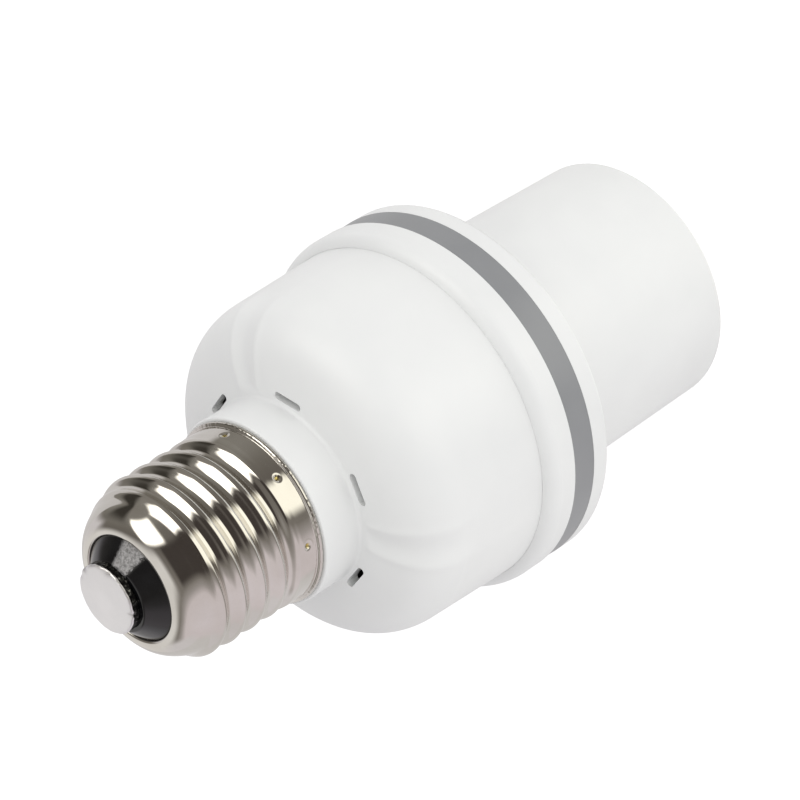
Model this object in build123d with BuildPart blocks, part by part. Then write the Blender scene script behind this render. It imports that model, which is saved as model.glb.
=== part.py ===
from build123d import *
from math import acos, cos, degrees, radians, sin, sqrt
import os

# Photocell lamp holder: a screw cap on top, a three-lobed dome with vents, a grey sensor window
# round the widest part and a tubular lamp socket below. Millimetres.
# The holder stands on the rim of its lamp socket. The origin is the centre of that rim,
# and +Z runs along the axis up to the contact of the screw cap.

# Stack of heights, from the mouth rim up to the contact
tube_length = 35.6
flange_height = 3.1
window_height = 4.1
ring_height = 4.9
dome_height = 23.3
neck_height = 6.6
shell_height = 22.6
contact_reach = 3.8

# Fits
fit_gap = 0.2
seat_gap = 0.1
hole_gap = 0.05

# Socket cover: flange, tube and the floor that carries the lamp contacts
flange_step = 0.1
flange_edge = 0.7
tube_gap = 1.6
tube_wall = 2.1
tube_taper = 0.5
tube_root_fillet = 0.8
mouth_edge = 0.8
mouth_step = 0.8
mouth_bore_depth = 7.0
floor_rise = 4.6
floor_thickness = 2.5
arm_width = 5.0
arm_thickness = 1.6
arm_gap = 0.4
barb_reach = 0.45
barb_height = 2.2

# Sensor window
window_step = 0.15
window_lip_wall = 1.85
lip_up = 1.5
lip_down = 1.3

# Middle ring, the widest piece, which the other housing radii follow
ring_radius = 27.6
ring_wall = 1.65
ring_round = 2.2
ledge_reach = 2.55
ledge_thickness = 1.6

# Dome housing
dome_wall = 2.0
dome_draft = 0.4
face_reach = 5.9
face_fall = 0.1
shoulder_drop = 8.9
shoulder_rise = 6.5
neck_spare = 0.45
neck_edge = 0.5
neck_fillet = 0.5
spigot_height = 12.4
spigot_wall = 2.05
catch_height = 1.5
catch_reach = 0.55
lobe_count = 3
valley_radius = 11.4
valley_depth = 0.6
valley_spare = 0.6
first_valley_angle = 90.0
vent_count = 6
vent_offset = 1.1
vent_length = 4.8
vent_width = 1.1

# Screw cap and its thread
thread_major_radius = 13.1
thread_depth = 1.05
thread_pitch = 3.629
thread_land = 0.3
thread_flank = 1.2
thread_sink = 0.15
thread_angle = 79.0
thread_start = 1.886
thread_fade = 2.4
thread_runout = 1.3
skirt_height = 3.0
band_spare = 0.05
shell_wall = 1.35
rim_bead = 0.5
rim_bead_height = 0.7
rim_bead_edge = 0.25
nose_reach = 5.35
nose_lip = 0.4
nose_bulge = 4.45
nose_length = 9.0
nose_wall = 0.8
crimp_count = 8
crimp_radius = 0.6
crimp_depth = 0.35
crimp_height = 2.2
crimp_angle = -92.0
button_radius = 5.1
button_edge = 1.35
button_dome = 0.25
stem_radius = 1.5
clinch_radius = 2.4
clinch_height = 0.9
insulator_flange = 1.5
insulator_height = 2.8
insulator_gap = 0.25
insulator_collar_drop = 0.4
insulator_rim = 0.1
button_rim_fillet = 0.3

# Lamp contacts in the socket
sleeve_length = 23.0
sleeve_gap = 0.2
sleeve_wall = 0.5
sleeve_lip = 0.8
sleeve_lip_height = 0.6
sleeve_thread_angle = 90.0
sleeve_thread_inset = 3.0
sleeve_thread_stop = 4.5
ear_width = 7.0
ear_reach = 5.0
ear_rivet_inset = 2.5
sheet_thickness = 0.5
tongue_width = 6.0
tongue_rivet_offset = 6.0
tongue_foot = 5.1
tongue_drop = 3.1
tongue_slope = 5.0
tongue_end = 3.1
tongue_curl = 1.0
tongue_bend_radius = 1.6
rivet_radius = 1.25
rivet_head_radius = 2.0
rivet_head_height = 0.9
rivet_head_edge = 0.5
sleeve_tag_angle = 0.0
tongue_tag_angle = 90.0
tag_radius = 2.6
tag_tail_width = 3.0
tag_tail_height = 5.5

# Circuit board, its screws and its parts
board_thickness = 1.6
board_gap = 0.8
boss_inset = 4.1
boss_radius = 2.6
boss_first_angle = 30.0
boss_hole_spare = 1.5
screw_radius = 1.25
screw_length = 8.0
screw_head_radius = 2.3
screw_head_height = 1.6
screw_slot_width = 0.6
screw_slot_depth = 0.7
pin_width = 0.6
pin_standoff = 3.0
film_length = 13.0
film_depth = 6.0
film_height = 11.0
film_edge = 0.5
electrolytic_radius = 4.0
electrolytic_height = 12.0
electrolytic_edge = 0.5
diode_count = 4
diode_radius = 1.35
diode_length = 5.2
resistor_radius = 1.15
resistor_length = 6.3
switch_width = 8.0
switch_depth = 3.0
switch_height = 11.0
switch_hole_radius = 1.6
switch_hole_drop = 3.0
switch_pin_pitch = 2.3
transistor_radius = 2.3
transistor_flat = 1.3
transistor_height = 4.6
transistor_pin_pitch = 1.27
photocell_radius = 1.9
photocell_thickness = 2.0
photocell_angle = 60.0
photocell_gap = 1.7
photocell_pin_spread = 1.7
photocell_pin_reach = 1.6
photocell_bend = 0.8

# Places on the board, as shares of its radius
film_share = (0.0, 0.58)
electrolytic_share = (0.466, -0.087)
diode_share = (-0.03, -0.117)
diode_pitch_share = 0.155
axial_span_share = 0.466
resistor_shares = [(0.515, -0.398), (0.515, -0.553), (-0.553, -0.476)]
switch_share = (-0.544, -0.126)
transistor_share = (-0.175, 0.155)
live_pad_share = (0.165, 0.175)
shell_pad_share = (-0.417, 0.262)
lamp_live_pad_share = (-0.194, 0.456)
lamp_return_pad_share = (0.728, -0.165)

# Leads
lead_radius = 0.9
lead_bend = 10.0
lead_end_bend = 2.0
lead_rise = 12.0
tag_lead_bend = 1.2
tag_lead_rise = 2.0
shell_lead_inset = 1.1
shell_lead_rise = 1.1

# Levels that follow from the stack
flange_z = tube_length
window_z = flange_z + flange_height
ring_z = window_z + window_height
ring_top = ring_z + ring_height
ring_shoulder_z = ring_top - sqrt(ring_round**2 - (ring_round - ring_wall) ** 2)
neck_z = ring_top + dome_height
shell_z = neck_z + neck_height
nose_z = shell_z + shell_height
contact_z = nose_z + contact_reach
floor_z = flange_z - floor_rise
floor_top = floor_z + floor_thickness
sleeve_z = floor_z - sleeve_length
ledge_z = ring_z + lip_up + seat_gap
dome_base = ledge_z + ledge_thickness
shoulder_z = neck_z - shoulder_drop
catch_top = ring_top + catch_height
board_top = dome_base + board_thickness
spigot_top = shell_z + spigot_height
button_z = contact_z - button_dome - button_edge
insulator_top = nose_z - shell_wall - insulator_gap
insulator_base = insulator_top - insulator_height
clinch_z = insulator_base - clinch_height

# Radii that follow from the ring, the thread and the fits
flange_radius = ring_radius - flange_step
window_radius = ring_radius - window_step
ring_bore_radius = ring_radius - ring_wall
ledge_bore_radius = ring_bore_radius - ledge_reach
lip_radius = ring_bore_radius - fit_gap
window_bore_radius = lip_radius - window_lip_wall
dome_rim_radius = ring_bore_radius - seat_gap
shoulder_radius = dome_rim_radius - dome_draft
dome_bore_radius = dome_rim_radius - dome_wall
arm_radius = ledge_bore_radius - arm_gap
arm_inner_radius = arm_radius - arm_thickness
thread_root_radius = thread_major_radius - thread_depth
thread_half = (thread_pitch - thread_land) / 2
shell_radius = thread_major_radius + band_spare
shell_bore_radius = shell_radius - shell_wall
neck_radius = shell_radius + rim_bead + neck_spare
vent_radius = neck_radius + vent_offset
spigot_radius = shell_bore_radius - seat_gap
spigot_bore_radius = spigot_radius - spigot_wall
nose_opening_radius = shell_radius - nose_reach
nose_edge_radius = nose_opening_radius + nose_lip
nose_base = nose_z - nose_length
nose_foot_angle = acos((thread_root_radius - nose_edge_radius) / nose_bulge)
nose_foot_z = nose_base + nose_length * sin(nose_foot_angle)
sleeve_radius = thread_major_radius + sleeve_gap
sleeve_outer_radius = sleeve_radius + sleeve_wall
sleeve_lip_radius = sleeve_outer_radius + sleeve_lip
tube_bore_radius = sleeve_lip_radius + tube_gap
mouth_bore_radius = tube_bore_radius + mouth_step
tube_mouth_radius = mouth_bore_radius + tube_wall
tube_root_radius = tube_mouth_radius + tube_taper
ear_radius = sleeve_radius - ear_reach
ear_rivet_radius = sleeve_radius - ear_rivet_inset
hole_radius = rivet_radius + hole_gap
board_radius = arm_inner_radius - board_gap
boss_circle_radius = board_radius - boss_inset

# The dome curves from the foot of the neck to its shoulder: control points of that curve
dome_curve = [
    (neck_radius, neck_z),
    (neck_radius + face_reach, neck_z - face_fall),
    (shoulder_radius, shoulder_z + shoulder_rise),
    (shoulder_radius, shoulder_z),
]

valley_angles = [first_valley_angle + index * 360 / lobe_count for index in range(lobe_count)]
rivet_places = [(ear_rivet_radius, 0), (-ear_rivet_radius, 0), (0, tongue_rivet_offset)]
rivet_grips = [sheet_thickness, 0, sheet_thickness]
tag_radii = [ear_rivet_radius, tongue_rivet_offset]
tag_angles = [sleeve_tag_angle, tongue_tag_angle]
tag_top = floor_top + tag_tail_height
tail_offset = tag_radius - sheet_thickness / 2
upright = (Align.CENTER, Align.CENTER, Align.MIN)
hanging = (Align.CENTER, Align.CENTER, Align.MAX)
edge_tolerance = 0.01
cut_margin = 1.0


def turned_plane(angle, height=0):
    """Upright plane through the axis: its x points outwards at the angle, its y points up."""
    outward = (cos(radians(angle)), sin(radians(angle)), 0)
    normal = (sin(radians(angle)), -cos(radians(angle)), 0)
    return Plane(origin=(0, 0, height), x_dir=outward, z_dir=normal)


def circle_edges(part, radius, height):
    """Circular edges of one radius at one height."""
    rings = part.edges().filter_by(GeomType.CIRCLE)
    rings = rings.filter_by(lambda edge: abs(edge.radius - radius) < edge_tolerance)
    return rings.filter_by(lambda edge: abs(edge.arc_center.Z - height) < edge_tolerance)


def lowered_curve(depth):
    """Control points of the dome's curve, moved in by a depth."""
    neck, face, shoulder, side = dome_curve
    return [
        (neck[0], neck[1] - depth),
        (face[0] - depth / 2, face[1] - depth),
        (shoulder[0] - depth, shoulder[1] - depth / 2),
        (side[0] - depth, side[1]),
    ]


def bore_radius(height):
    """Radius of the dome's drafted inner wall at a height."""
    return dome_bore_radius - dome_draft * (height - dome_base) / (shoulder_z - dome_base)


def add_thread(section, root, start, end, angle):
    """Helical ridge on a wall of radius root, with the section that stands at its start."""
    outward = (cos(radians(angle)), sin(radians(angle)), 0)
    with BuildLine(Plane(origin=(0, 0, start), x_dir=outward, z_dir=(0, 0, 1))) as path:
        Helix(thread_pitch, end - start, root)
    sweep(sections=section.sketch, path=path.line, is_frenet=True)


def add_wire(points, radii, radius):
    """Round wire along straight runs joined by arcs."""
    with BuildLine() as route:
        FilletPolyline(*points, radius=radii)
    with BuildSketch(Plane(origin=route.line @ 0, z_dir=route.line % 0)) as section:
        Circle(radius)
    sweep(sections=section.sketch, path=route.line)


def add_pin(points, bend):
    """Square pin along straight runs joined by arcs."""
    with BuildLine() as route:
        FilletPolyline(*points, radius=bend)
    with BuildSketch(Plane(origin=route.line @ 0, z_dir=route.line % 0)) as section:
        Rectangle(pin_width, pin_width)
    sweep(sections=section.sketch, path=route.line)


def on_board(share):
    """Place on the board from a share of its radius."""
    return (share[0] * board_radius, share[1] * board_radius)


def add_axial_part(x, y, radius, length):
    """Axial part lying on the board: a round body between two bent pins."""
    span = axial_span_share * board_radius
    level = board_top + radius
    with BuildSketch(Plane.YZ.offset(x - length / 2)) as section:
        with Locations((y, level)):
            Circle(radius)
    extrude(section.sketch, amount=length)
    left = x - span / 2
    right = x + span / 2
    points = [(left, y, board_top), (left, y, level), (right, y, level), (right, y, board_top)]
    add_pin(points, radius / 2)


def add_pins(x, y, pitch, spread):
    """Row of three upright pins on the board."""
    for step in (-1, 0, 1):
        with BuildSketch(Plane.XY.offset(board_top)) as section:
            with Locations((x + step * pitch * spread[0], y + step * pitch * spread[1])):
                Rectangle(pin_width, pin_width)
        extrude(section.sketch, amount=pin_standoff)


os.makedirs("parts", exist_ok=True)

# Socket cover: tube with a stepped bore and a floor, flange with a groove for the window's lip,
# and snap arms that hold the whole stack together
with BuildPart() as socket_cover:
    groove_z = window_z - lip_down - seat_gap
    groove_outer = lip_radius + fit_gap
    groove_inner = window_bore_radius - fit_gap
    with BuildSketch(Plane.XZ):
        with BuildLine():
            Polyline(
                (0, floor_z),
                (tube_bore_radius, floor_z),
                (tube_bore_radius, mouth_bore_depth),
                (mouth_bore_radius, mouth_bore_depth),
                (mouth_bore_radius, 0),
                (tube_mouth_radius, 0),
                (tube_root_radius, flange_z),
                (flange_radius, flange_z),
                (flange_radius, window_z),
                (groove_outer, window_z),
                (groove_outer, groove_z),
                (groove_inner, groove_z),
                (groove_inner, window_z),
                (tube_bore_radius, window_z),
                (tube_bore_radius, floor_top),
                (0, floor_top),
                close=True,
            )
        make_face()
    revolve(axis=Axis.Z)
    fillet(circle_edges(socket_cover, tube_mouth_radius, 0), mouth_edge)
    fillet(circle_edges(socket_cover, tube_root_radius, flange_z), tube_root_fillet)
    fillet(circle_edges(socket_cover, flange_radius, flange_z), flange_edge)
    for angle in valley_angles:
        with BuildSketch(turned_plane(angle)):
            with BuildLine():
                barb_z = catch_top + seat_gap
                Polyline(
                    (arm_inner_radius, window_z),
                    (arm_radius, window_z),
                    (arm_radius, barb_z),
                    (arm_radius + barb_reach, barb_z),
                    (arm_radius - arm_thickness / 2, barb_z + barb_height),
                    (arm_inner_radius, barb_z + barb_height),
                    close=True,
                )
            make_face()
        extrude(amount=arm_width / 2, both=True)
    with BuildSketch(Plane.XY.offset(floor_z)):
        with Locations(*rivet_places):
            Circle(hole_radius)
    extrude(amount=floor_thickness, mode=Mode.SUBTRACT)
socket_cover.part.label = "socket_cover"
export_step(socket_cover.part, "parts/socket_cover.step")

# Sensor window: tinted ring with a lip on both sides that centres it in its neighbours
with BuildPart() as sensor_window:
    with BuildSketch(Plane.XZ):
        with BuildLine():
            Polyline(
                (window_bore_radius, window_z - lip_down),
                (lip_radius, window_z - lip_down),
                (lip_radius, window_z),
                (window_radius, window_z),
                (window_radius, ring_z),
                (lip_radius, ring_z),
                (lip_radius, ring_z + lip_up),
                (window_bore_radius, ring_z + lip_up),
                close=True,
            )
        make_face()
    revolve(axis=Axis.Z)
sensor_window.part.label = "sensor_window"
export_step(sensor_window.part, "parts/sensor_window.step")

# Middle ring: outer wall round the foot of the dome, with the ledge that the dome stands on
with BuildPart() as middle_ring:
    with BuildSketch(Plane.XZ):
        with BuildLine():
            Polyline(
                (ring_bore_radius, ring_z),
                (ring_radius, ring_z),
                (ring_radius, ring_shoulder_z),
            )
            RadiusArc((ring_radius, ring_shoulder_z), (ring_bore_radius, ring_top), -ring_round)
            Polyline(
                (ring_bore_radius, ring_top),
                (ring_bore_radius, dome_base),
                (ledge_bore_radius, dome_base),
                (ledge_bore_radius, ledge_z),
                (ring_bore_radius, ledge_z),
                (ring_bore_radius, ring_z),
            )
        make_face()
    revolve(axis=Axis.Z)
middle_ring.part.label = "middle_ring"
export_step(middle_ring.part, "parts/middle_ring.step")

# Space inside the dome housing: a room with a catch round its foot, cleared of the screw bosses,
# and the bore of the spigot
with BuildPart() as dome_room:
    ceiling = lowered_curve(dome_wall)
    with BuildSketch(Plane.XZ):
        with BuildLine():
            Polyline(
                ceiling[0],
                (spigot_bore_radius, neck_z - dome_wall),
                (spigot_bore_radius, spigot_top),
                (0, spigot_top),
                (0, dome_base),
                (dome_bore_radius, dome_base),
                (bore_radius(ring_top), ring_top),
                (dome_bore_radius - catch_reach, ring_top),
                (dome_bore_radius - catch_reach, catch_top),
                (bore_radius(catch_top), catch_top),
                ceiling[3],
            )
            Bezier(*ceiling)
        make_face()
    revolve(axis=Axis.Z)
    with BuildSketch(Plane.XY.offset(board_top)):
        with PolarLocations(boss_circle_radius, lobe_count, start_angle=boss_first_angle):
            Circle(boss_radius)
    extrude(amount=neck_z - board_top, mode=Mode.SUBTRACT)

# Dome housing: three lobes parted by shallow valleys, a neck with vent slots round its foot,
# and a spigot that the screw cap is crimped on
with BuildPart() as dome_housing:
    with BuildSketch(Plane.XZ):
        with BuildLine():
            Bezier(*dome_curve)
            Polyline(
                dome_curve[3],
                (dome_rim_radius, dome_base),
                (0, dome_base),
                (0, spigot_top),
                (spigot_radius, spigot_top),
                (spigot_radius, shell_z),
                (neck_radius, shell_z),
                dome_curve[0],
            )
        make_face()
    revolve(axis=Axis.Z)
    fillet(circle_edges(dome_housing, neck_radius, neck_z), neck_fillet)
    fillet(circle_edges(dome_housing, neck_radius, shell_z), neck_edge)
    valley_top = valley_depth + valley_spare
    valley_half = sqrt(2 * valley_radius * valley_top - valley_top**2)
    valley_curve = lowered_curve(valley_depth)
    for angle in valley_angles:
        with BuildLine(turned_plane(angle)) as valley_path:
            Bezier(*valley_curve)
            Line(valley_curve[3], (dome_rim_radius - valley_depth, dome_base))
        sideways = (-sin(radians(angle)), cos(radians(angle)), 0)
        valley_start = Plane(valley_path.line @ 0, x_dir=sideways, z_dir=valley_path.line % 0)
        with BuildSketch(valley_start) as hollow:
            with BuildLine():
                rim = Line((-valley_half, valley_top), (valley_half, valley_top))
                ThreePointArc(rim @ 0, (0, 0), rim @ 1)
            make_face()
        sweep(sections=hollow.sketch, path=valley_path.line, mode=Mode.SUBTRACT)
    add(dome_room.part, mode=Mode.SUBTRACT)
    with BuildSketch(Plane.XY.offset(neck_z - dome_wall - cut_margin)):
        with PolarLocations(vent_radius, vent_count):
            SlotOverall(vent_length, vent_width, rotation=90)
    extrude(amount=dome_wall + 2 * cut_margin, mode=Mode.SUBTRACT)
    with BuildSketch(Plane.XY.offset(board_top)):
        with PolarLocations(boss_circle_radius, lobe_count, start_angle=boss_first_angle):
            Circle(screw_radius + hole_gap)
    extrude(amount=screw_length - board_thickness + boss_hole_spare, mode=Mode.SUBTRACT)
dome_housing.part.label = "dome_housing"
export_step(dome_housing.part, "parts/dome_housing.step")

# Screw shell: rolled sheet cap, crimped on the spigot through small dents. Its thread runs out
# into the skirt below and fades into the round nose above
with BuildPart() as screw_shell:
    skirt_z = shell_z + skirt_height
    bead_radius = shell_radius + rim_bead
    bead_z = shell_z + rim_bead_height
    with BuildSketch(Plane.XZ):
        with BuildLine():
            Polyline(
                (0, shell_z),
                (bead_radius, shell_z),
                (bead_radius, bead_z),
                (shell_radius, bead_z),
                (shell_radius, skirt_z),
                (thread_root_radius, skirt_z + thread_runout),
                (thread_root_radius, nose_z),
                (0, nose_z),
                close=True,
            )
        make_face()
    revolve(axis=Axis.Z)
    fillet(circle_edges(screw_shell, bead_radius, bead_z), rim_bead_edge)
    thread_z = shell_z + thread_start
    with BuildSketch(turned_plane(thread_angle, thread_z), mode=Mode.PRIVATE) as ridge:
        with BuildLine():
            low_flank = (thread_root_radius + thread_depth / 2, -thread_half / 2)
            high_flank = (thread_root_radius + thread_depth / 2, thread_half / 2)
            foot = Polyline(
                (thread_root_radius, -thread_half),
                (thread_root_radius - thread_sink, -thread_half),
                (thread_root_radius - thread_sink, thread_half),
                (thread_root_radius, thread_half),
            )
            RadiusArc(foot @ 1, high_flank, thread_flank)
            ThreePointArc(high_flank, (thread_major_radius, 0), low_flank)
            RadiusArc(low_flank, foot @ 0, thread_flank)
        make_face()
    add_thread(ridge, thread_root_radius, thread_z, nose_foot_z, thread_angle)
    with Locations((0, 0, shell_z)):
        Cylinder(shell_radius, thread_pitch, align=hanging, mode=Mode.SUBTRACT)
    nose_centre = (nose_edge_radius, nose_base)
    nose_start = degrees(nose_foot_angle)
    with BuildSketch(Plane.XZ):
        with BuildLine():
            nose = EllipticalCenterArc(
                nose_centre,
                nose_bulge,
                nose_length,
                start_angle=nose_start,
                arc_size=90 - nose_start,
            )
            Polyline(
                nose @ 1,
                (nose_edge_radius, nose_z + cut_margin),
                (shell_radius + cut_margin, nose_z + cut_margin),
                (shell_radius + cut_margin, nose_foot_z - thread_fade),
                (shell_radius, nose_foot_z - thread_fade),
                nose @ 0,
            )
        make_face()
    revolve(axis=Axis.Z, mode=Mode.SUBTRACT)
    with BuildSketch(Plane.XZ):
        with BuildLine():
            lining_bulge = shell_bore_radius - nose_edge_radius
            lining_length = nose_length - nose_wall
            lining = EllipticalCenterArc(nose_centre, lining_bulge, lining_length, arc_size=90)
            Polyline(
                lining @ 1,
                (nose_opening_radius, nose_z - nose_wall),
                (nose_opening_radius, nose_z),
                (0, nose_z),
                (0, shell_z),
                (shell_bore_radius, shell_z),
                lining @ 0,
            )
        make_face()
    revolve(axis=Axis.Z, mode=Mode.SUBTRACT)
    fillet(circle_edges(screw_shell, nose_opening_radius, nose_z), nose_lip - seat_gap)
    with Locations((0, 0, shell_z + crimp_height)):
        with PolarLocations(shell_radius, crimp_count, start_angle=crimp_angle):
            Cylinder(crimp_radius, 2 * crimp_depth, rotation=(0, 90, 0), mode=Mode.SUBTRACT)
screw_shell.part.label = "screw_shell"
export_step(screw_shell.part, "parts/screw_shell.step")

# Cap insulator: flange held under the nose, collar in its opening and a cone up to the contact
with BuildPart() as cap_insulator:
    with BuildSketch(Plane.XZ):
        with BuildLine():
            flange_edge_radius = nose_opening_radius + insulator_flange
            collar_radius = nose_opening_radius - seat_gap
            Polyline(
                (stem_radius + hole_gap, insulator_base),
                (flange_edge_radius, insulator_base),
                (flange_edge_radius, insulator_top),
                (collar_radius, insulator_top),
                (collar_radius, nose_z - insulator_collar_drop),
                (button_radius + insulator_rim, button_z),
                (stem_radius + hole_gap, button_z),
                close=True,
            )
        make_face()
    revolve(axis=Axis.Z)
cap_insulator.part.label = "cap_insulator"
export_step(cap_insulator.part, "parts/cap_insulator.step")

# Contact button: domed head, stem through the insulator and the clinch that holds it
with BuildPart() as contact_button:
    with BuildSketch(Plane.XZ):
        with BuildLine():
            dome_start = (button_radius, button_z + button_edge)
            dome_end = (0, contact_z)
            Polyline(
                dome_end,
                (0, clinch_z),
                (clinch_radius, clinch_z),
                (clinch_radius, insulator_base),
                (stem_radius, insulator_base),
                (stem_radius, button_z),
                (button_radius, button_z),
                dome_start,
            )
            RadiusArc(dome_start, dome_end, -(button_radius**2 + button_dome**2) / (2 * button_dome))
        make_face()
    revolve(axis=Axis.Z)
    fillet(circle_edges(contact_button, button_radius, button_z + button_edge), button_rim_fillet)
contact_button.part.label = "contact_button"
export_step(contact_button.part, "parts/contact_button.step")

# Lamp sleeve: threaded sheet sleeve with a rolled lip at its mouth and two riveted ears
with BuildPart() as lamp_sleeve:
    with BuildSketch(Plane.XZ):
        with BuildLine():
            lip_z = sleeve_z + sleeve_lip_height
            Polyline(
                (sleeve_radius, sleeve_z),
                (sleeve_lip_radius, sleeve_z),
                (sleeve_lip_radius, lip_z),
                (sleeve_outer_radius, lip_z),
                (sleeve_outer_radius, floor_z),
                (sleeve_radius, floor_z),
                close=True,
            )
        make_face()
    revolve(axis=Axis.Z)
    thread_z = sleeve_z + sleeve_thread_inset
    with BuildSketch(turned_plane(sleeve_thread_angle, thread_z), mode=Mode.PRIVATE) as ridge:
        with BuildLine():
            foot = Polyline(
                (sleeve_radius, -thread_half),
                (sleeve_radius + thread_sink, -thread_half),
                (sleeve_radius + thread_sink, thread_half),
                (sleeve_radius, thread_half),
            )
            ThreePointArc(foot @ 1, (sleeve_radius - thread_depth, 0), foot @ 0)
        make_face()
    add_thread(ridge, sleeve_radius, thread_z, floor_z - sleeve_thread_stop, sleeve_thread_angle)
    with BuildSketch(Plane.XY.offset(floor_z)):
        Rectangle(2 * sleeve_outer_radius, ear_width)
        Rectangle(2 * ear_radius, ear_width, mode=Mode.SUBTRACT)
        Circle(sleeve_radius + sleeve_wall / 2, mode=Mode.INTERSECT)
        with Locations((ear_rivet_radius, 0), (-ear_rivet_radius, 0)):
            Circle(hole_radius, mode=Mode.SUBTRACT)
    extrude(amount=-sheet_thickness)
lamp_sleeve.part.label = "lamp_sleeve"
export_step(lamp_sleeve.part, "parts/lamp_sleeve.step")

# Centre tongue: folded spring strip, riveted at its foot, that reaches over the axis
with BuildPart() as centre_tongue:
    with BuildSketch(Plane.YZ):
        with BuildLine():
            strip_z = floor_z - sheet_thickness / 2
            foot_end = tongue_rivet_offset + tag_radius
            bend_y = foot_end - tongue_foot
            slope_y = bend_y - tongue_slope
            FilletPolyline(
                (foot_end, strip_z),
                (bend_y, strip_z),
                (slope_y, strip_z - tongue_drop),
                (slope_y - tongue_end, strip_z - tongue_drop + tongue_curl),
                radius=tongue_bend_radius,
            )
        trace(line_width=sheet_thickness)
    extrude(amount=tongue_width / 2, both=True)
    with BuildSketch(Plane.XY.offset(floor_z)):
        with Locations((0, tongue_rivet_offset)):
            Circle(hole_radius)
    extrude(amount=-sheet_thickness, mode=Mode.SUBTRACT)
centre_tongue.part.label = "centre_tongue"
export_step(centre_tongue.part, "parts/centre_tongue.step")

# Contact rivets: two for the sleeve's ears, one for the tongue
with BuildPart() as contact_rivets:
    head_z = floor_z - sheet_thickness - rivet_head_height
    for (x, y), grip in zip(rivet_places, rivet_grips):
        shank = floor_thickness + sheet_thickness + grip
        with Locations((x, y, head_z)):
            Cylinder(rivet_head_radius, rivet_head_height, align=upright)
        with Locations((x, y, head_z + rivet_head_height)):
            Cylinder(rivet_radius, shank, align=upright)
        with Locations((x, y, head_z + rivet_head_height + shank)):
            Cylinder(rivet_head_radius, rivet_head_height, align=upright)
    chamfer(circle_edges(contact_rivets, rivet_head_radius, head_z), rivet_head_edge)
contact_rivets.part.label = "contact_rivets"
export_step(contact_rivets.part, "parts/contact_rivets.step")

# Solder tags: a ring under the rivet and an upright tail for the lead
with BuildPart() as solder_tags:
    for radius, angle in zip(tag_radii, tag_angles):
        outward = (cos(radians(angle)), sin(radians(angle)), 0)
        tag_plane = Plane(origin=(0, 0, floor_top), x_dir=outward, z_dir=(0, 0, 1))
        with BuildSketch(tag_plane):
            with Locations((radius, 0)):
                Circle(tag_radius)
            with Locations((radius + tag_radius / 2, 0)):
                Rectangle(tag_radius, tag_tail_width)
            with Locations((radius, 0)):
                Circle(hole_radius, mode=Mode.SUBTRACT)
        extrude(amount=sheet_thickness)
        with BuildSketch(tag_plane):
            with Locations((radius + tail_offset, 0)):
                Rectangle(sheet_thickness, tag_tail_width)
        extrude(amount=tag_tail_height)
solder_tags.part.label = "solder_tags"
export_step(solder_tags.part, "parts/solder_tags.step")

# Circuit board: round board inside the snap arms, screwed to the dome's bosses
with BuildPart() as circuit_board:
    with BuildSketch(Plane.XY.offset(dome_base)):
        Circle(board_radius)
        with PolarLocations(boss_circle_radius, lobe_count, start_angle=boss_first_angle):
            Circle(screw_radius + hole_gap, mode=Mode.SUBTRACT)
    extrude(amount=board_thickness)
circuit_board.part.label = "circuit_board"
export_step(circuit_board.part, "parts/circuit_board.step")

# Board screws: slotted pan heads under the board
with BuildPart() as board_screws:
    with Locations((0, 0, dome_base - screw_head_height)):
        with PolarLocations(boss_circle_radius, lobe_count, start_angle=boss_first_angle):
            Cylinder(screw_head_radius, screw_head_height, align=upright)
            Cylinder(screw_radius, screw_head_height + screw_length, align=upright)
            Box(2 * screw_head_radius, screw_slot_width, screw_slot_depth, align=upright, mode=Mode.SUBTRACT)
board_screws.part.label = "board_screws"
export_step(board_screws.part, "parts/board_screws.step")

# Photocell: disc that looks out through the window, on two bent pins
with BuildPart() as photocell:
    cell_plane = turned_plane(photocell_angle)
    cell_front = window_bore_radius - photocell_gap
    cell_back = cell_front - photocell_thickness
    cell_z = window_z + window_height / 2
    disc_plane = Plane(
        origin=cell_plane.from_local_coords((cell_back, cell_z, 0)),
        x_dir=(0, 0, 1),
        z_dir=cell_plane.x_dir,
    )
    with BuildSketch(disc_plane):
        Circle(photocell_radius)
    extrude(amount=photocell_thickness)
    for side in (-photocell_pin_spread / 2, photocell_pin_spread / 2):
        route = [
            (cell_back + photocell_thickness / 2, cell_z, side),
            (cell_back - photocell_pin_reach, cell_z, side),
            (cell_back - photocell_pin_reach, dome_base, side),
        ]
        add_pin([cell_plane.from_local_coords(point) for point in route], photocell_bend)
photocell.part.label = "photocell"
export_step(photocell.part, "parts/photocell.step")

# Film capacitor: moulded box
with BuildPart() as film_capacitor:
    with Locations((*on_board(film_share), board_top)):
        Box(film_length, film_depth, film_height, align=upright)
    fillet(film_capacitor.edges().filter_by(Axis.Z), film_edge)
    fillet(film_capacitor.edges().group_by(Axis.Z)[-1], film_edge)
film_capacitor.part.label = "film_capacitor"
export_step(film_capacitor.part, "parts/film_capacitor.step")

# Electrolytic capacitor: round can
with BuildPart() as electrolytic_capacitor:
    with Locations((*on_board(electrolytic_share), board_top)):
        Cylinder(electrolytic_radius, electrolytic_height, align=upright)
    can_top = board_top + electrolytic_height
    chamfer(circle_edges(electrolytic_capacitor, electrolytic_radius, can_top), electrolytic_edge)
electrolytic_capacitor.part.label = "electrolytic_capacitor"
export_step(electrolytic_capacitor.part, "parts/electrolytic_capacitor.step")

# Rectifier diodes: a bridge of four axial diodes side by side
with BuildPart() as rectifier_diodes:
    diode_x, diode_y = on_board(diode_share)
    diode_pitch = diode_pitch_share * board_radius
    for index in range(diode_count):
        add_axial_part(diode_x, diode_y - index * diode_pitch, diode_radius, diode_length)
rectifier_diodes.part.label = "rectifier_diodes"
export_step(rectifier_diodes.part, "parts/rectifier_diodes.step")

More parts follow.
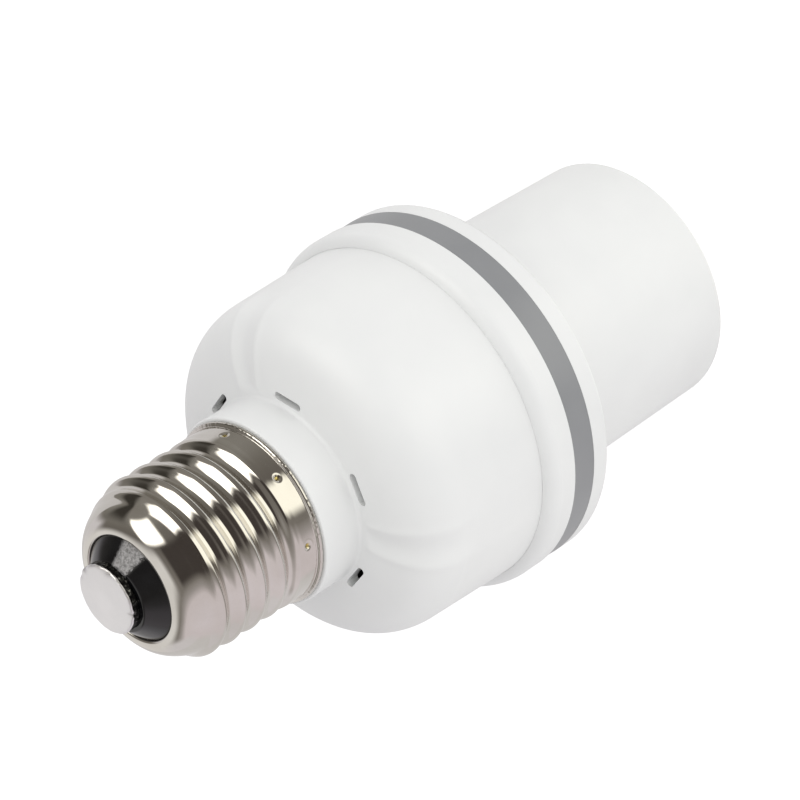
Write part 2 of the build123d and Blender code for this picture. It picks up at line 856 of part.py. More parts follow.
# Resistors: axial, on both sides of the diodes
with BuildPart() as resistors:
    for share in resistor_shares:
        add_axial_part(*on_board(share), resistor_radius, resistor_length)
resistors.part.label = "resistors"
export_step(resistors.part, "parts/resistors.step")

# Lamp switch: flat power semiconductor on three pins
with BuildPart() as lamp_switch:
    switch_x, switch_y = on_board(switch_share)
    with Locations((switch_x, switch_y, board_top + pin_standoff)):
        Box(switch_depth, switch_width, switch_height, align=upright)
    hole_z = board_top + pin_standoff + switch_height - switch_hole_drop
    with BuildSketch(Plane.YZ.offset(switch_x)):
        with Locations((switch_y, hole_z)):
            Circle(switch_hole_radius)
    extrude(amount=switch_depth / 2, both=True, mode=Mode.SUBTRACT)
    add_pins(switch_x, switch_y, switch_pin_pitch, (0, 1))
lamp_switch.part.label = "lamp_switch"
export_step(lamp_switch.part, "parts/lamp_switch.step")

# Driver transistor: small round body with a flat front, on three pins
with BuildPart() as driver_transistor:
    transistor_x, transistor_y = on_board(transistor_share)
    with BuildSketch(Plane.XY.offset(board_top + pin_standoff)):
        with Locations((transistor_x, transistor_y)):
            Circle(transistor_radius)
        with Locations((transistor_x, transistor_y + transistor_flat)):
            Rectangle(
                2 * transistor_radius,
                transistor_radius,
                align=(Align.CENTER, Align.MIN),
                mode=Mode.SUBTRACT,
            )
    extrude(amount=transistor_height)
    add_pins(transistor_x, transistor_y, transistor_pin_pitch, (1, 0))
driver_transistor.part.label = "driver_transistor"
export_step(driver_transistor.part, "parts/driver_transistor.step")

# Live lead: from the board up the axis to the clinch of the contact button
with BuildPart() as live_lead:
    route = [
        (*on_board(live_pad_share), board_top),
        (*on_board(live_pad_share), board_top + lead_rise),
        (0, 0, neck_z),
        (0, 0, clinch_z),
    ]
    add_wire(route, lead_bend, lead_radius)
live_lead.part.label = "live_lead"
export_step(live_lead.part, "parts/live_lead.step")

# Shell lead: from the board up through the spigot, then out over its edge to the screw shell
with BuildPart() as shell_lead:
    lead_x = -(spigot_bore_radius - lead_radius - shell_lead_inset)
    lead_z = spigot_top + shell_lead_rise
    lead_end = -sqrt(shell_bore_radius**2 - lead_radius**2) + hole_gap
    route = [
        (*on_board(shell_pad_share), board_top),
        (*on_board(shell_pad_share), board_top + lead_rise),
        (lead_x, 0, neck_z),
        (lead_x, 0, lead_z),
        (lead_end, 0, lead_z),
    ]
    add_wire(route, [lead_bend, lead_bend, lead_end_bend], lead_radius)
shell_lead.part.label = "shell_lead"
export_step(shell_lead.part, "parts/shell_lead.step")

# Lamp live lead: from the tongue's tag up to the board
with BuildPart() as lamp_live_lead:
    tail_y = tongue_rivet_offset + tail_offset
    route = [
        (0, tail_y, tag_top),
        (0, tail_y, tag_top + tag_lead_rise),
        (*on_board(lamp_live_pad_share), dome_base - tag_lead_rise),
        (*on_board(lamp_live_pad_share), dome_base),
    ]
    add_wire(route, tag_lead_bend, lead_radius)
lamp_live_lead.part.label = "lamp_live_lead"
export_step(lamp_live_lead.part, "parts/lamp_live_lead.step")

# Lamp return lead: from the sleeve's tag up to the board
with BuildPart() as lamp_return_lead:
    tail_x = ear_rivet_radius + tail_offset
    route = [
        (tail_x, 0, tag_top),
        (tail_x, 0, tag_top + tag_lead_rise),
        (*on_board(lamp_return_pad_share), dome_base - tag_lead_rise),
        (*on_board(lamp_return_pad_share), dome_base),
    ]
    add_wire(route, tag_lead_bend, lead_radius)
lamp_return_lead.part.label = "lamp_return_lead"
export_step(lamp_return_lead.part, "parts/lamp_return_lead.step")
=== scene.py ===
import math

import bmesh
import bpy
import numpy as np
from mathutils import Matrix, Vector


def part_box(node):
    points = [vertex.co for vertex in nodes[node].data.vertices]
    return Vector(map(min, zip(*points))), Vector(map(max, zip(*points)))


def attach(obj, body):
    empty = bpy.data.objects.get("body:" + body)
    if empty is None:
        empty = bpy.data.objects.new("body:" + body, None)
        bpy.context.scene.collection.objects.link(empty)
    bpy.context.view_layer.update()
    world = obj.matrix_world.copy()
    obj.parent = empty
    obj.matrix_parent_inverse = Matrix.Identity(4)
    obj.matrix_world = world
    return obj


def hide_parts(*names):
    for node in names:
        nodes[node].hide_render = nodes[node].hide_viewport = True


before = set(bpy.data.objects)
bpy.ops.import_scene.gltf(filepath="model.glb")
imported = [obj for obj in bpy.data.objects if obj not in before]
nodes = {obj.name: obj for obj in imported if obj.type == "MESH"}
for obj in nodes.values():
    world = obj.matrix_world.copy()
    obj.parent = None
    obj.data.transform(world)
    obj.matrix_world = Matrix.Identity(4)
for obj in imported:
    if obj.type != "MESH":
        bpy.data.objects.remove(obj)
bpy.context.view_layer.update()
MM = 0.001
QUARTER = math.pi / 2

# Camera: where the photograph was taken from, seen from the holder standing upright
LENS = 144.0
SENSOR = 36.0
CLIP_START = 0.01
CAMERA_TARGET = Vector((2.28, -0.46, 46.66)) * MM
CAMERA_AZIMUTH = -11.37
CAMERA_ELEVATION = 36.16
CAMERA_ROLL = 121.84
CAMERA_DISTANCE = 450.6 * MM

# Floor
FLOOR_SIZE = 6.0
FLOOR_COLOUR = (0.45, 0.45, 0.45, 1.0)
FLOOR_ROUGHNESS = 0.9
GLOW_COLOUR = (1.0, 1.0, 1.0, 1.0)
FLOOR_GLOW = 0.72

# The studio in the holder's frame: the lit side, and the turn angle of the cap's side to the camera
UPWARDS = Vector((0.0, 0.0, 1.0))
LIGHT_SIDE = Vector((0.088, -0.906, 0.414)).normalized()
FACING = math.radians(-101.0)
FACING_OUT = Vector((math.cos(FACING), math.sin(FACING), 0.0))
FACING_ACROSS = Vector((-math.sin(FACING), math.cos(FACING), 0.0))

# Soft light, from the far side to the lit side
SOFT_LIGHT = [
    (0.0, (0.49, 0.475, 0.515)),
    (0.3, (0.49, 0.475, 0.515)),
    (0.5, (0.71, 0.70, 0.72)),
    (0.75, (1.02, 1.02, 1.015)),
    (1.0, (1.31, 1.31, 1.30)),
]

# Room seen in the metal, from one side of the facing plane to the other
ROOM = [
    (0.0, (0.77, 0.71, 0.745)),
    (0.21, (0.75, 0.685, 0.705)),
    (0.265, (0.42, 0.39, 0.38)),
    (0.32, (0.24, 0.22, 0.20)),
    (0.62, (0.165, 0.15, 0.135)),
    (0.72, (0.20, 0.185, 0.165)),
    (0.845, (0.29, 0.275, 0.25)),
    (1.0, (0.25, 0.23, 0.21)),
]

# Panels seen in the metal: degrees across and within the facing plane, edge softness, colour
PANELS = [
    ((-62.0, 70.0), (-200.0, -122.0), 8.0, (0.70, 0.68, 0.68)),
    ((-62.0, 40.0), (150.0, 200.0), 8.0, (0.74, 0.71, 0.73)),
    ((-22.0, 14.0), (-116.0, 8.0), 6.0, (1.45, 1.41, 1.25)),
    ((-29.0, 22.0), (14.0, 54.0), 6.0, (0.06, 0.05, 0.045)),
    ((-24.0, 16.0), (76.0, 200.0), 12.0, (0.84, 0.82, 0.80)),
    ((54.0, 110.0), (106.0, 166.0), 14.0, (0.05, 0.045, 0.038)),
    ((25.0, 62.0), (34.0, 90.0), 5.0, (3.0, 2.9, 2.7)),
]

# Materials: noise scales in cycles per metre, spans of the noise that a colour runs over, bump heights
PLASTIC_CLOUD = 60.0
PLASTIC_SPAN = (0.3, 0.7)
PLASTIC_POLISH = 240.0
PLASTIC_GRAIN_HEIGHT = 0.02 * MM
METAL_CLOUD = 90.0
METAL_SPAN = (0.35, 0.65)
METAL_POLISH = 500.0
SCRATCH_SCALE = 1500.0
SCRATCH_BUMP = 0.08
SCRATCH_HEIGHT = 0.01 * MM
EVEN = (1.0, 1.0, 1.0)
GLASS_SPECULAR = 0.55
GLASS_CLOUD = 350.0
GLASS_SPAN = (0.35, 0.75)
GLASS_POLISH_SPAN = (0.3, 0.7)
# Insulator's rough place: its roughness and bump are real, but its lighter grey colour, patchy with
# grain, is a painted reflection of a bright panel
SCUFF_AND_SHEEN_ANGLES = (-84.0, -50.0)
SCUFF_AND_SHEEN_RAGGED = 0.09
PAINTED_SHEEN_COLOUR = (0.34, 0.33, 0.325)
SCUFF_AND_SHEEN_GRAIN = 3000.0
SHEEN_GRAIN_SPAN = (0.36, 0.64)
SHEEN_FAINT = 0.3
SCUFF_ROUGHNESS = 0.4
SCUFF_BUMP = 0.6
SCUFF_HEIGHT = 0.08 * MM
SOLDER_SPECK = 2400.0
SOLDER_CLOUD = 160.0
SOLDER_SPAN = (0.3, 0.7)
SOLDER_DARK = (0.78, 0.775, 0.79)
SOLDER_LIGHT = (0.90, 0.89, 0.90)
SOLDER_ROUGHNESS = (0.34, 0.5)
SOLDER_BUMP = 0.12
SOLDER_HEIGHT = 0.02 * MM
# Contact's side: painted dark with light specks, a painted reflection of the black glass around it;
# where it starts below the top is ragged
PAINTED_DARK_SIDE = [(0.5, (0.012, 0.012, 0.012)), (0.62, (0.09, 0.09, 0.085)), (0.72, (0.6, 0.6, 0.57))]
DARK_SIDE_DEPTHS = (0.62 * MM, 0.50 * MM)
DARK_SIDE_RAGGED = 0.15 * MM

# Sockets of a colour mix node, which share their names with others
MIX_UNDER = 6
MIX_OVER = 7
MIX_RESULT = 2


# Helpers for materials
def new_material(name):
    """Empty material with a principled shader; returns (material, node tree, shader)."""
    material = bpy.data.materials.new(name)
    material.use_nodes = True
    tree = material.node_tree
    return material, tree, tree.nodes["Principled BSDF"]


def noise(tree, scale, detail=3.0, roughness=0.5, stretch=EVEN):
    """Noise over object coordinates, scale in cycles per metre; returns the factor socket."""
    coordinates = tree.nodes.new("ShaderNodeTexCoord")
    mapping = tree.nodes.new("ShaderNodeMapping")
    mapping.inputs["Scale"].default_value = stretch
    texture = tree.nodes.new("ShaderNodeTexNoise")
    texture.inputs["Scale"].default_value = scale
    texture.inputs["Detail"].default_value = detail
    texture.inputs["Roughness"].default_value = roughness
    tree.links.new(coordinates.outputs["Object"], mapping.inputs["Vector"])
    tree.links.new(mapping.outputs["Vector"], texture.inputs["Vector"])
    return texture.outputs["Fac"]


def ramp(tree, factor, stops):
    """Colour ramp over a factor; stops are (position, colour)."""
    node = tree.nodes.new("ShaderNodeValToRGB")
    elements = node.color_ramp.elements
    while len(elements) < len(stops):
        elements.new(0.5)
    for element, (position, colour) in zip(elements, stops):
        element.position = position
        element.color = (*colour, 1.0)
    tree.links.new(factor, node.inputs["Fac"])
    return node.outputs["Color"]


def two_tone(tree, factor, span, dark, light):
    """Colour that runs from dark to light over a span of the factor."""
    return ramp(tree, factor, list(zip(span, (dark, light))))


def spread(tree, value, low, high, start=0.0, end=1.0, curve="LINEAR"):
    """Maps a value from start..end to low..high."""
    node = tree.nodes.new("ShaderNodeMapRange")
    node.interpolation_type = curve
    node.inputs["From Min"].default_value = start
    node.inputs["From Max"].default_value = end
    node.inputs["To Min"].default_value = low
    node.inputs["To Max"].default_value = high
    tree.links.new(value, node.inputs["Value"])
    return node.outputs["Result"]


def combine(tree, operation, first, second=None):
    """Math node over one or two sockets."""
    node = tree.nodes.new("ShaderNodeMath")
    node.operation = operation
    tree.links.new(first, node.inputs[0])
    if second is not None:
        tree.links.new(second, node.inputs[1])
    return node.outputs["Value"]


def band(tree, value, low, high, edge, curve="SMOOTHSTEP"):
    """Mask that is 1 between low and high; each edge is a pair of (outer, inner) offsets."""
    outer, inner = edge
    rise = spread(tree, value, 0.0, 1.0, low - outer, low + inner, curve)
    fall = spread(tree, value, 1.0, 0.0, high - inner, high + outer, curve)
    return combine(tree, "MULTIPLY", rise, fall)


def blend(tree, factor, under, over):
    """Mixes two colours by a factor; each is a socket or a plain colour."""
    node = tree.nodes.new("ShaderNodeMix")
    node.data_type = "RGBA"
    tree.links.new(factor, node.inputs["Factor"])
    for place, colour in ((MIX_UNDER, under), (MIX_OVER, over)):
        if isinstance(colour, tuple):
            node.inputs[place].default_value = (*colour, 1.0)
        else:
            tree.links.new(colour, node.inputs[place])
    return node.outputs[MIX_RESULT]


def bump(tree, shader, height, strength, distance):
    """Bump from a height socket on the shader's normal."""
    node = tree.nodes.new("ShaderNodeBump")
    node.inputs["Strength"].default_value = strength
    node.inputs["Distance"].default_value = distance
    tree.links.new(height, node.inputs["Height"])
    tree.links.new(node.outputs["Normal"], shader.inputs["Normal"])


def object_place(tree):
    """X, Y and Z of a point in the object's own frame, as sockets by name."""
    coordinates = tree.nodes.new("ShaderNodeTexCoord")
    parts = tree.nodes.new("ShaderNodeSeparateXYZ")
    tree.links.new(coordinates.outputs["Object"], parts.inputs["Vector"])
    return parts.outputs


def plastic(name, dark, light, roughness, grain_scale, grain_bump):
    """Moulded plastic: cloudy colour, uneven gloss and a fine surface grain."""
    material, tree, shader = new_material(name)
    cloud = noise(tree, PLASTIC_CLOUD, detail=4.0)
    colour = two_tone(tree, cloud, PLASTIC_SPAN, dark, light)
    gloss = spread(tree, noise(tree, PLASTIC_POLISH), *roughness)
    tree.links.new(colour, shader.inputs["Base Color"])
    tree.links.new(gloss, shader.inputs["Roughness"])
    bump(tree, shader, noise(tree, grain_scale, detail=2.0), grain_bump, PLASTIC_GRAIN_HEIGHT)
    return material


def metal(name, dark, light, roughness, stretch=EVEN):
    """Plated or rolled sheet: tarnish clouds, uneven polish and fine scratches."""
    material, tree, shader = new_material(name)
    shader.inputs["Metallic"].default_value = 1.0
    cloud = noise(tree, METAL_CLOUD, detail=6.0, roughness=0.6)
    colour = two_tone(tree, cloud, METAL_SPAN, dark, light)
    gloss = spread(tree, noise(tree, METAL_POLISH, detail=5.0, stretch=stretch), *roughness)
    tree.links.new(colour, shader.inputs["Base Color"])
    tree.links.new(gloss, shader.inputs["Roughness"])
    bump(tree, shader, noise(tree, SCRATCH_SCALE, stretch=stretch), SCRATCH_BUMP, SCRATCH_HEIGHT)
    return material


def glass(name, dark, light, roughness):
    """Vitreous insulator: near black, glossy, with one rough, bumpy place whose lighter, grainy grey
    colour is a painted reflection.
    """
    material, tree, shader = new_material(name)
    shader.inputs["Specular IOR Level"].default_value = GLASS_SPECULAR
    cloud = noise(tree, GLASS_CLOUD, detail=5.0, roughness=0.6)
    grain = noise(tree, SCUFF_AND_SHEEN_GRAIN, detail=4.0, roughness=0.6)
    place = object_place(tree)
    turn = combine(tree, "ARCTAN2", place["Y"], place["X"])
    ragged = combine(tree, "ADD", turn, spread(tree, grain, -SCUFF_AND_SHEEN_RAGGED, SCUFF_AND_SHEEN_RAGGED))
    start, end = (math.radians(angle) for angle in SCUFF_AND_SHEEN_ANGLES)
    scuff_and_sheen = band(tree, ragged, start, end, (0.0, SCUFF_AND_SHEEN_RAGGED))
    patchy = spread(tree, grain, SHEEN_FAINT, 1.0, *SHEEN_GRAIN_SPAN)
    painted_sheen = combine(tree, "MULTIPLY", scuff_and_sheen, patchy)
    # Lighter grey over the rough place: a painted reflection
    colour = blend(tree, painted_sheen, two_tone(tree, cloud, GLASS_SPAN, dark, light), PAINTED_SHEEN_COLOUR)
    polish = spread(tree, cloud, *roughness, *GLASS_POLISH_SPAN)
    gloss = combine(tree, "MAXIMUM", polish, spread(tree, scuff_and_sheen, 0.0, SCUFF_ROUGHNESS))
    tree.links.new(colour, shader.inputs["Base Color"])
    tree.links.new(gloss, shader.inputs["Roughness"])
    bump(tree, shader, combine(tree, "MULTIPLY", scuff_and_sheen, grain), SCUFF_BUMP, SCUFF_HEIGHT)
    return material


def solder_face(name, top):
    """Tinned contact: satin face, and a side painted dark with light specks, a painted reflection of the
    black glass beside it.
    """
    material, tree, shader = new_material(name)
    shader.inputs["Metallic"].default_value = 1.0
    speck = noise(tree, SOLDER_SPECK, detail=4.0, roughness=0.65)
    cloud = noise(tree, SOLDER_CLOUD, detail=4.0)
    face = two_tone(tree, cloud, SOLDER_SPAN, SOLDER_DARK, SOLDER_LIGHT)
    height = object_place(tree)["Z"]
    ragged_height = combine(tree, "ADD", height, spread(tree, speck, -DARK_SIDE_RAGGED, DARK_SIDE_RAGGED))
    start, end = (top - depth for depth in DARK_SIDE_DEPTHS)
    face_mask = spread(tree, ragged_height, 0.0, 1.0, start, end, "SMOOTHSTEP")
    gloss = spread(tree, cloud, *SOLDER_ROUGHNESS, *SOLDER_SPAN)
    # Below the face the side takes the painted dark reflection of the glass
    tree.links.new(blend(tree, face_mask, ramp(tree, speck, PAINTED_DARK_SIDE), face), shader.inputs["Base Color"])
    tree.links.new(gloss, shader.inputs["Roughness"])
    bump(tree, shader, speck, SOLDER_BUMP, SOLDER_HEIGHT)
    return material


# Materials: two colours, range of roughness, then a plastic's grain or a metal's stretch
white = plastic("white_plastic", (0.745, 0.75, 0.745), (0.785, 0.79, 0.78), (0.36, 0.46), 5200.0, 0.12)
grey = plastic(
    "grey_tinted_plastic", (0.235, 0.24, 0.248), (0.275, 0.28, 0.288), (0.3, 0.42), 3800.0, 0.1
)
black = glass("black_vitreous", (0.002, 0.002, 0.0025), (0.006, 0.006, 0.007), (0.05, 0.11))
solder = solder_face("soldered_contact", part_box("contact_button")[1][2])
nickel = metal("nickel_plate", (0.66, 0.635, 0.59), (0.74, 0.72, 0.68), (0.045, 0.10), (1.0, 1.0, 7.0))
tin = metal("tinned_contact", (0.62, 0.61, 0.60), (0.80, 0.79, 0.78), (0.28, 0.46))
brass = metal("rolled_brass", (0.60, 0.46, 0.20), (0.78, 0.63, 0.33), (0.18, 0.34), (1.0, 1.0, 5.0))
steel = metal("zinc_steel", (0.46, 0.46, 0.45), (0.62, 0.62, 0.60), (0.25, 0.42))
board = plastic("phenolic_board", (0.30, 0.22, 0.09), (0.42, 0.32, 0.15), (0.5, 0.65), 3000.0, 0.2)
film = plastic("red_epoxy", (0.42, 0.05, 0.03), (0.55, 0.09, 0.05), (0.25, 0.35), 2500.0, 0.1)
can = plastic("can_sleeve", (0.03, 0.045, 0.10), (0.05, 0.07, 0.15), (0.25, 0.35), 2500.0, 0.1)
epoxy = plastic("black_epoxy", (0.012, 0.012, 0.012), (0.03, 0.03, 0.03), (0.45, 0.6), 4000.0, 0.25)
lacquer = plastic("resistor_lacquer", (0.42, 0.32, 0.19), (0.55, 0.44, 0.28), (0.4, 0.55), 3000.0, 0.15)
sensor = plastic("sensor_disc", (0.45, 0.20, 0.08), (0.62, 0.36, 0.18), (0.2, 0.3), 2500.0, 0.1)
brown_wire = plastic("brown_insulation", (0.12, 0.05, 0.02), (0.2, 0.09, 0.04), (0.4, 0.5), 3000.0, 0.1)
blue_wire = plastic("blue_insulation", (0.03, 0.08, 0.28), (0.05, 0.14, 0.42), (0.4, 0.5), 3000.0, 0.1)

finishes = {
    white: ["dome_housing", "middle_ring", "socket_cover"],
    grey: ["sensor_window"],
    black: ["cap_insulator"],
    nickel: ["screw_shell"],
    tin: ["solder_tags"],
    solder: ["contact_button"],
    brass: ["lamp_sleeve", "centre_tongue", "contact_rivets"],
    steel: ["board_screws"],
    board: ["circuit_board"],
    film: ["film_capacitor"],
    can: ["electrolytic_capacitor"],
    epoxy: ["rectifier_diodes", "lamp_switch", "driver_transistor"],
    lacquer: ["resistors"],
    sensor: ["photocell"],
    brown_wire: ["live_lead", "lamp_live_lead"],
    blue_wire: ["shell_lead", "lamp_return_lead"],
}
for material, names in finishes.items():
    for name in names:
        nodes[name].data.materials.clear()
        nodes[name].data.materials.append(material)


# Helpers for meshes; lengths in millimetres
def node_box(name):
    """Low and high corner of a CAD node."""
    return (np.array(corner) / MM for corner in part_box(name))


def smooth(low, high, value):
    """Soft step from 0 at low to 1 at high."""
    share = np.clip((value - low) / (high - low), 0.0, 1.0)
    return share * share * (3 - 2 * share)


def arc(centre, reach, start, end, count):
    """Points of an ellipse in the plane of radius and height; angles from the radius upwards."""
    return [
        (centre[0] + reach[0] * math.cos(angle), centre[1] + reach[1] * math.sin(angle))
        for angle in np.linspace(start, end, count)
    ]


def turned(profile, columns):
    """Rows of radii and heights over a full turn, and the degrees of their columns."""
    profile = np.array(profile)
    radii = np.repeat(profile[:, :1], columns, axis=1)
    heights = np.repeat(profile[:, 1:], columns, axis=1)
    return radii, heights, np.arange(columns) * 360.0 / columns


def off_angle(degrees, centre):
    """Degrees past a centre, the short way round."""
    return (degrees - centre + 180.0) % 360.0 - 180.0


def ripple(degrees, waves):
    """Sum of waves round the axis; each is (size, count, phase)."""
    angles = np.radians(degrees)
    return sum(size * np.sin(count * angles + phase) for size, count, phase in waves)


def ring_mesh(name, radii, heights, degrees, material, replaced):
    """Closed skin round the axis: rows of radii and heights over degrees, joined both ways."""
    rows, columns = radii.shape
    angles = np.radians(degrees)
    points = np.stack([radii * np.cos(angles), radii * np.sin(angles), heights], axis=-1) * MM
    row, column = np.meshgrid(np.arange(rows), np.arange(columns), indexing="ij")
    next_row = (row + 1) % rows
    next_column = (column + 1) % columns
    faces = np.stack([
        row * columns + column,
        row * columns + next_column,
        next_row * columns + next_column,
        next_row * columns + column,
    ], axis=-1)
    mesh = bpy.data.meshes.new(name)
    mesh.from_pydata(points.reshape(-1, 3).tolist(), [], faces.reshape(-1, 4).tolist())
    mesh.polygons.foreach_set("use_smooth", np.ones(len(mesh.polygons), dtype=bool))
    mesh.materials.append(material)
    piece = bpy.data.objects.new(name, mesh)
    bpy.context.scene.collection.objects.link(piece)
    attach(piece, "root")
    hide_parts(replaced)
    return piece


# Screw cap; heights run from the shell's foot
shell_low, shell_high = node_box("screw_shell")
SHELL_Z = shell_low[2]
NOSE_Z = shell_high[2]
SHELL_BORE = 11.8
SHELL_COLUMNS = 420
BEAD_RADIUS = shell_high[0]
BEAD_PROFILE = [(0.3, 0.0), (0.09, 0.05), (0.0, 0.18), (0.0, 0.42), (0.08, 0.58), (0.25, 0.66)]
BEAD_ROOT = [(0.06, 0.70), (0.0, 0.78)]
BEAD_RAGGED = 0.012
BEAD_WAVES = [(1.0, 61, 0.0), (1.0, 97, 1.0), (1.0, 143, 2.0)]
SKIRT_RADIUS = 13.15
SKIRT_HEIGHT = 3.0
WALL_START = 0.9
WALL_STEP = 0.12
THREAD_MAJOR = 13.1
THREAD_ROOT = 12.05
THREAD_PITCH = 3.629
THREAD_ANGLE = 79.0
THREAD_START = 1.886
GROOVE_START = 3.6
GROOVE_FULL = 5.0
RIDGE_FULL = 1.9
RIDGE_END = 1.7
ROLL_MARK = 0.007
ROLL_MARKS = 6
NOSE_EDGE = 8.2
NOSE_OPENING = 7.8
NOSE_BULGE = 4.45
NOSE_LENGTH = 9.0
NOSE_WALL = 0.8
NOSE_ROWS = 30
LIP_START = 1.25 * QUARTER
LIP_ROWS = 4
LINING_ROWS = 14
CRIMP_HEIGHT = 2.2
CRIMP_ANGLE = -92.0
CRIMP_COUNT = 8
CRIMP_RADIUS = 0.42
CRIMP_DEPTH = 0.32
CRIMP_CORE = CRIMP_RADIUS / 3
CRIMP_BRASS = (0.62, 0.50, 0.16)
BURR_HEIGHT = 0.04
BURR_REACH = 1.6
BURR_SPREAD = 0.2


def crimp_brass(material):
    """Shows brass where the crimps break the plating."""
    tree = material.node_tree
    shader = tree.nodes["Principled BSDF"]
    plating = shader.inputs["Base Color"].links[0].from_socket
    place = object_place(tree)
    turn = combine(tree, "ARCTAN2", place["Y"], place["X"])
    low, high = (CRIMP_COUNT * (limit - math.radians(CRIMP_ANGLE)) for limit in (-math.pi, math.pi))
    waves = combine(tree, "COSINE", spread(tree, turn, low, high, -math.pi, math.pi))
    edge, core = (math.cos(CRIMP_COUNT * reach / SKIRT_RADIUS) for reach in (CRIMP_RADIUS, CRIMP_CORE))
    around = spread(tree, waves, 0.0, 1.0, edge, core)
    centre = (SHELL_Z + CRIMP_HEIGHT) * MM
    start, end = centre - CRIMP_CORE * MM, centre + CRIMP_CORE * MM
    along = band(tree, place["Z"], start, end, ((CRIMP_RADIUS - CRIMP_CORE) * MM, 0.0), "LINEAR")
    bare = combine(tree, "MULTIPLY", around, along)
    tree.links.new(blend(tree, bare, plating, CRIMP_BRASS), shader.inputs["Base Color"])


def build_shell():
    """Rim bead, threaded wall with crimps, domed nose, rolled lip, and the lining behind them."""
    base = NOSE_Z - NOSE_LENGTH
    foot_angle = math.acos((THREAD_ROOT - NOSE_EDGE) / NOSE_BULGE)
    foot_z = base + NOSE_LENGTH * math.sin(foot_angle)
    lip = NOSE_EDGE - NOSE_OPENING
    profile = [(SHELL_BORE, SHELL_Z)]
    first_bead = len(profile) + 1
    profile += [(BEAD_RADIUS - inset, SHELL_Z + rise) for inset, rise in BEAD_PROFILE]
    profile += [(SKIRT_RADIUS + reach, SHELL_Z + rise) for reach, rise in BEAD_ROOT]
    first_wall = len(profile)
    profile += [(SKIRT_RADIUS, z) for z in np.arange(SHELL_Z + WALL_START, foot_z, WALL_STEP)]
    profile += arc((NOSE_EDGE, base), (NOSE_BULGE, NOSE_LENGTH), foot_angle, QUARTER, NOSE_ROWS)
    last_wall = len(profile)
    profile += arc((NOSE_EDGE, NOSE_Z - lip), (lip, lip), LIP_START, math.pi, LIP_ROWS)
    profile.append((NOSE_OPENING, NOSE_Z - NOSE_WALL))
    lining = (SHELL_BORE - NOSE_EDGE, NOSE_LENGTH - NOSE_WALL)
    profile += arc((NOSE_EDGE, base), lining, QUARTER, 0.0, LINING_ROWS)
    radii, heights, degrees = turned(profile, SHELL_COLUMNS)

    # Thread: grooves between its crests, which sink into the nose above the wall
    z = heights[first_wall:last_wall]
    crest = SHELL_Z + THREAD_START + THREAD_PITCH * (degrees - THREAD_ANGLE) / 360.0
    phase = 2 * np.pi * (z - crest) / THREAD_PITCH
    threaded = smooth(SHELL_Z + GROOVE_START, SHELL_Z + GROOVE_FULL, z)
    groove = (THREAD_MAJOR - THREAD_ROOT) * (0.5 - 0.5 * np.cos(phase))
    marks = ROLL_MARK * np.cos(ROLL_MARKS * phase)
    above_skirt = smooth(SHELL_Z + SKIRT_HEIGHT, SHELL_Z + GROOVE_START, z)
    ridge = SKIRT_RADIUS + (THREAD_MAJOR - SKIRT_RADIUS) * above_skirt + (marks - groove) * threaded
    fade = 1 - smooth(foot_z - RIDGE_FULL, foot_z + RIDGE_END, z)
    core = np.minimum(radii[first_wall:last_wall], THREAD_ROOT)
    wall = core + (ridge - THREAD_ROOT) * fade

    # Crimps: round dents with a slight burr
    for index in range(CRIMP_COUNT):
        turn = off_angle(degrees, CRIMP_ANGLE + index * 360.0 / CRIMP_COUNT)
        across = np.radians(turn) * SKIRT_RADIUS
        away = np.hypot(across, z - SHELL_Z - CRIMP_HEIGHT) / CRIMP_RADIUS
        wall -= CRIMP_DEPTH * np.exp(-(away**2))
        wall += BURR_HEIGHT * np.exp(-((away - BURR_REACH) ** 2) / BURR_SPREAD)
    radii[first_wall:last_wall] = wall
    radii[first_bead:first_wall - 1] += BEAD_RAGGED * ripple(degrees, BEAD_WAVES)
    return ring_mesh("cap_shell", radii, heights, degrees, nickel, "screw_shell")


build_shell()
crimp_brass(nickel)

# Cap insulator: glass that meets the nose's lip and rises in a cone to the contact
glass_low, glass_high = node_box("cap_insulator")
GLASS_COLUMNS = 192
GLASS_BORE = 1.9
GLASS_SHELF = 0.8
GLASS_FIT = 0.01
FLANGE_EDGE = 0.1
COLLAR_INSET = 0.08
COLLAR_DROP = 0.3
WETTED_DROP = 0.12
CONE_RISE = 0.04
CONE_DROP = 0.02
CONE_ROWS = 16
GLASS_TOP_RADIUS = 5.2
GLASS_TOP_EDGE = 0.08
GLASS_WAVE = 0.03
GLASS_WAVES = [(1.0, 3, 0.7), (0.6, 7, 2.1), (0.5, 11, 4.0)]


def build_glass():
    """Flange under the nose, collar in its opening, wetted lip and cone."""
    flange = glass_high[0]
    base, top = glass_low[2], glass_high[2]
    shelf = NOSE_Z - NOSE_WALL - GLASS_SHELF
    lip_z = NOSE_Z - (NOSE_EDGE - NOSE_OPENING)
    edge = NOSE_OPENING - GLASS_FIT
    collar = edge - COLLAR_INSET
    profile = [
        (GLASS_BORE, base),
        (flange - FLANGE_EDGE, base),
        (flange, base + FLANGE_EDGE),
        (flange, shelf - FLANGE_EDGE),
        (flange - FLANGE_EDGE, shelf),
        (collar, shelf),
        (collar, lip_z - COLLAR_DROP),
        (edge, lip_z - WETTED_DROP),
    ]
    first_cone = len(profile)
    low, high = lip_z + CONE_RISE, top - CONE_DROP
    rise = np.linspace(0.0, 1.0, CONE_ROWS)
    profile += [(edge + (GLASS_TOP_RADIUS - edge) * share, low + (high - low) * share) for share in rise]
    last_cone = len(profile)
    profile += [(GLASS_TOP_RADIUS - GLASS_TOP_EDGE, top), (GLASS_BORE, top)]
    radii, heights, degrees = turned(profile, GLASS_COLUMNS)
    swell = GLASS_WAVE * ripple(degrees, GLASS_WAVES)
    heights[first_cone:last_cone] += swell * np.sin(np.pi * rise)[:, None]
    return ring_mesh("cap_glass", radii, heights, degrees, black, "cap_insulator")


build_glass()

